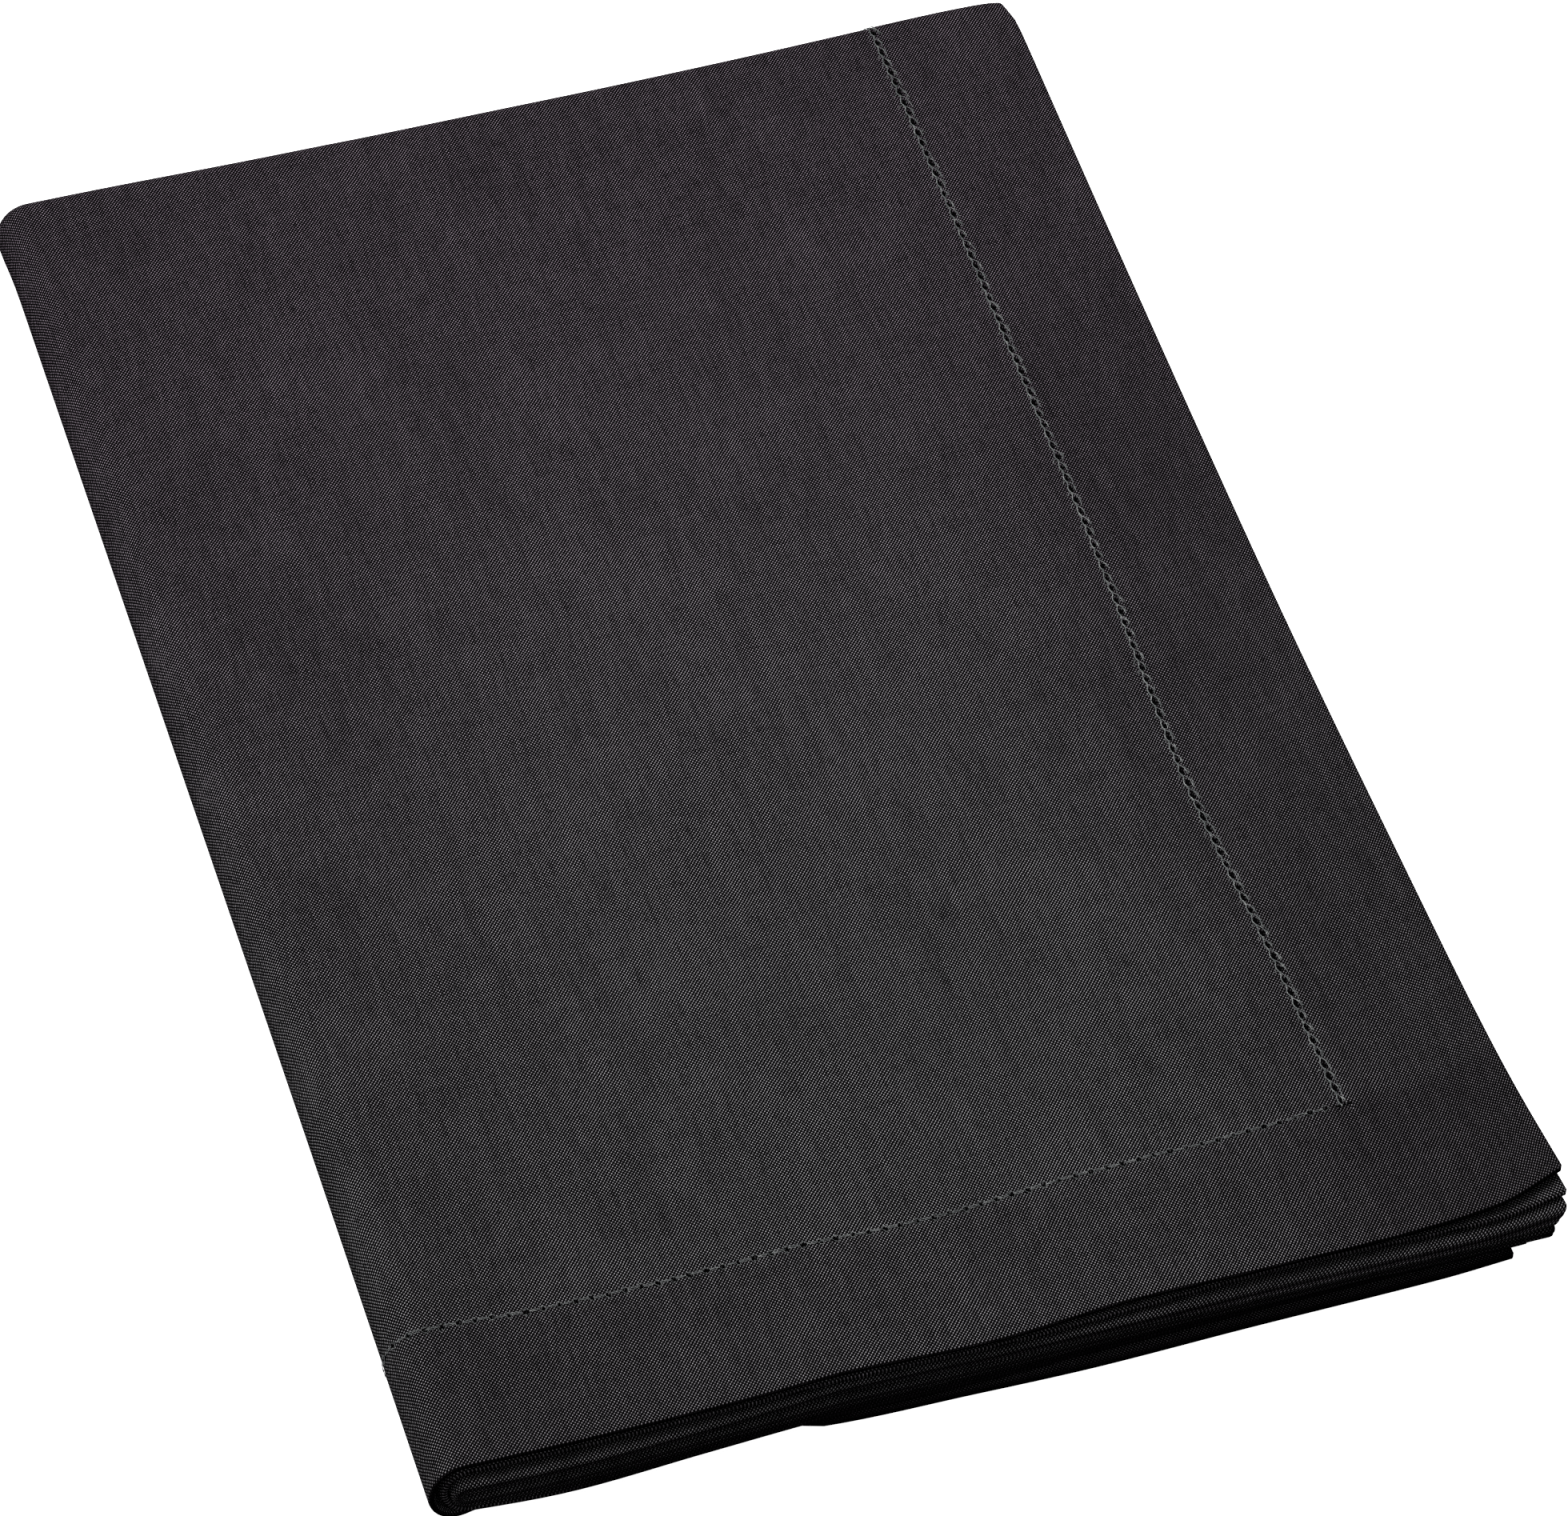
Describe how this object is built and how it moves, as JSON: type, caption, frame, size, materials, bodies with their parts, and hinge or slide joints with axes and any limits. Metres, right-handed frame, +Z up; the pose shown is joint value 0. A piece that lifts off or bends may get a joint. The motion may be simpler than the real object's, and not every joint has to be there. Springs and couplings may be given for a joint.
{
  "type": "folded tablecloth",
  "caption": "Charcoal plain-woven tablecloth with hemstitched hems, folded lengthwise and doubled over into a flat bundle that lies on a table or shelf.",
  "frame": {"origin": "middle of the bundle's footprint, on the surface it lies on", "axes": "+X from the doubled side towards the open hemmed side, +Y along the bundle towards its folded far end, +Z up"},
  "size_m": [0.2536, 0.383, 0.0174],
  "materials": {
    "charcoal_cloth": "matt",
    "hemstitch_thread": "satin"
  },
  "bodies": {
    "root": {"folded_cloth": "charcoal_cloth"}
  },
  "joints": []
}
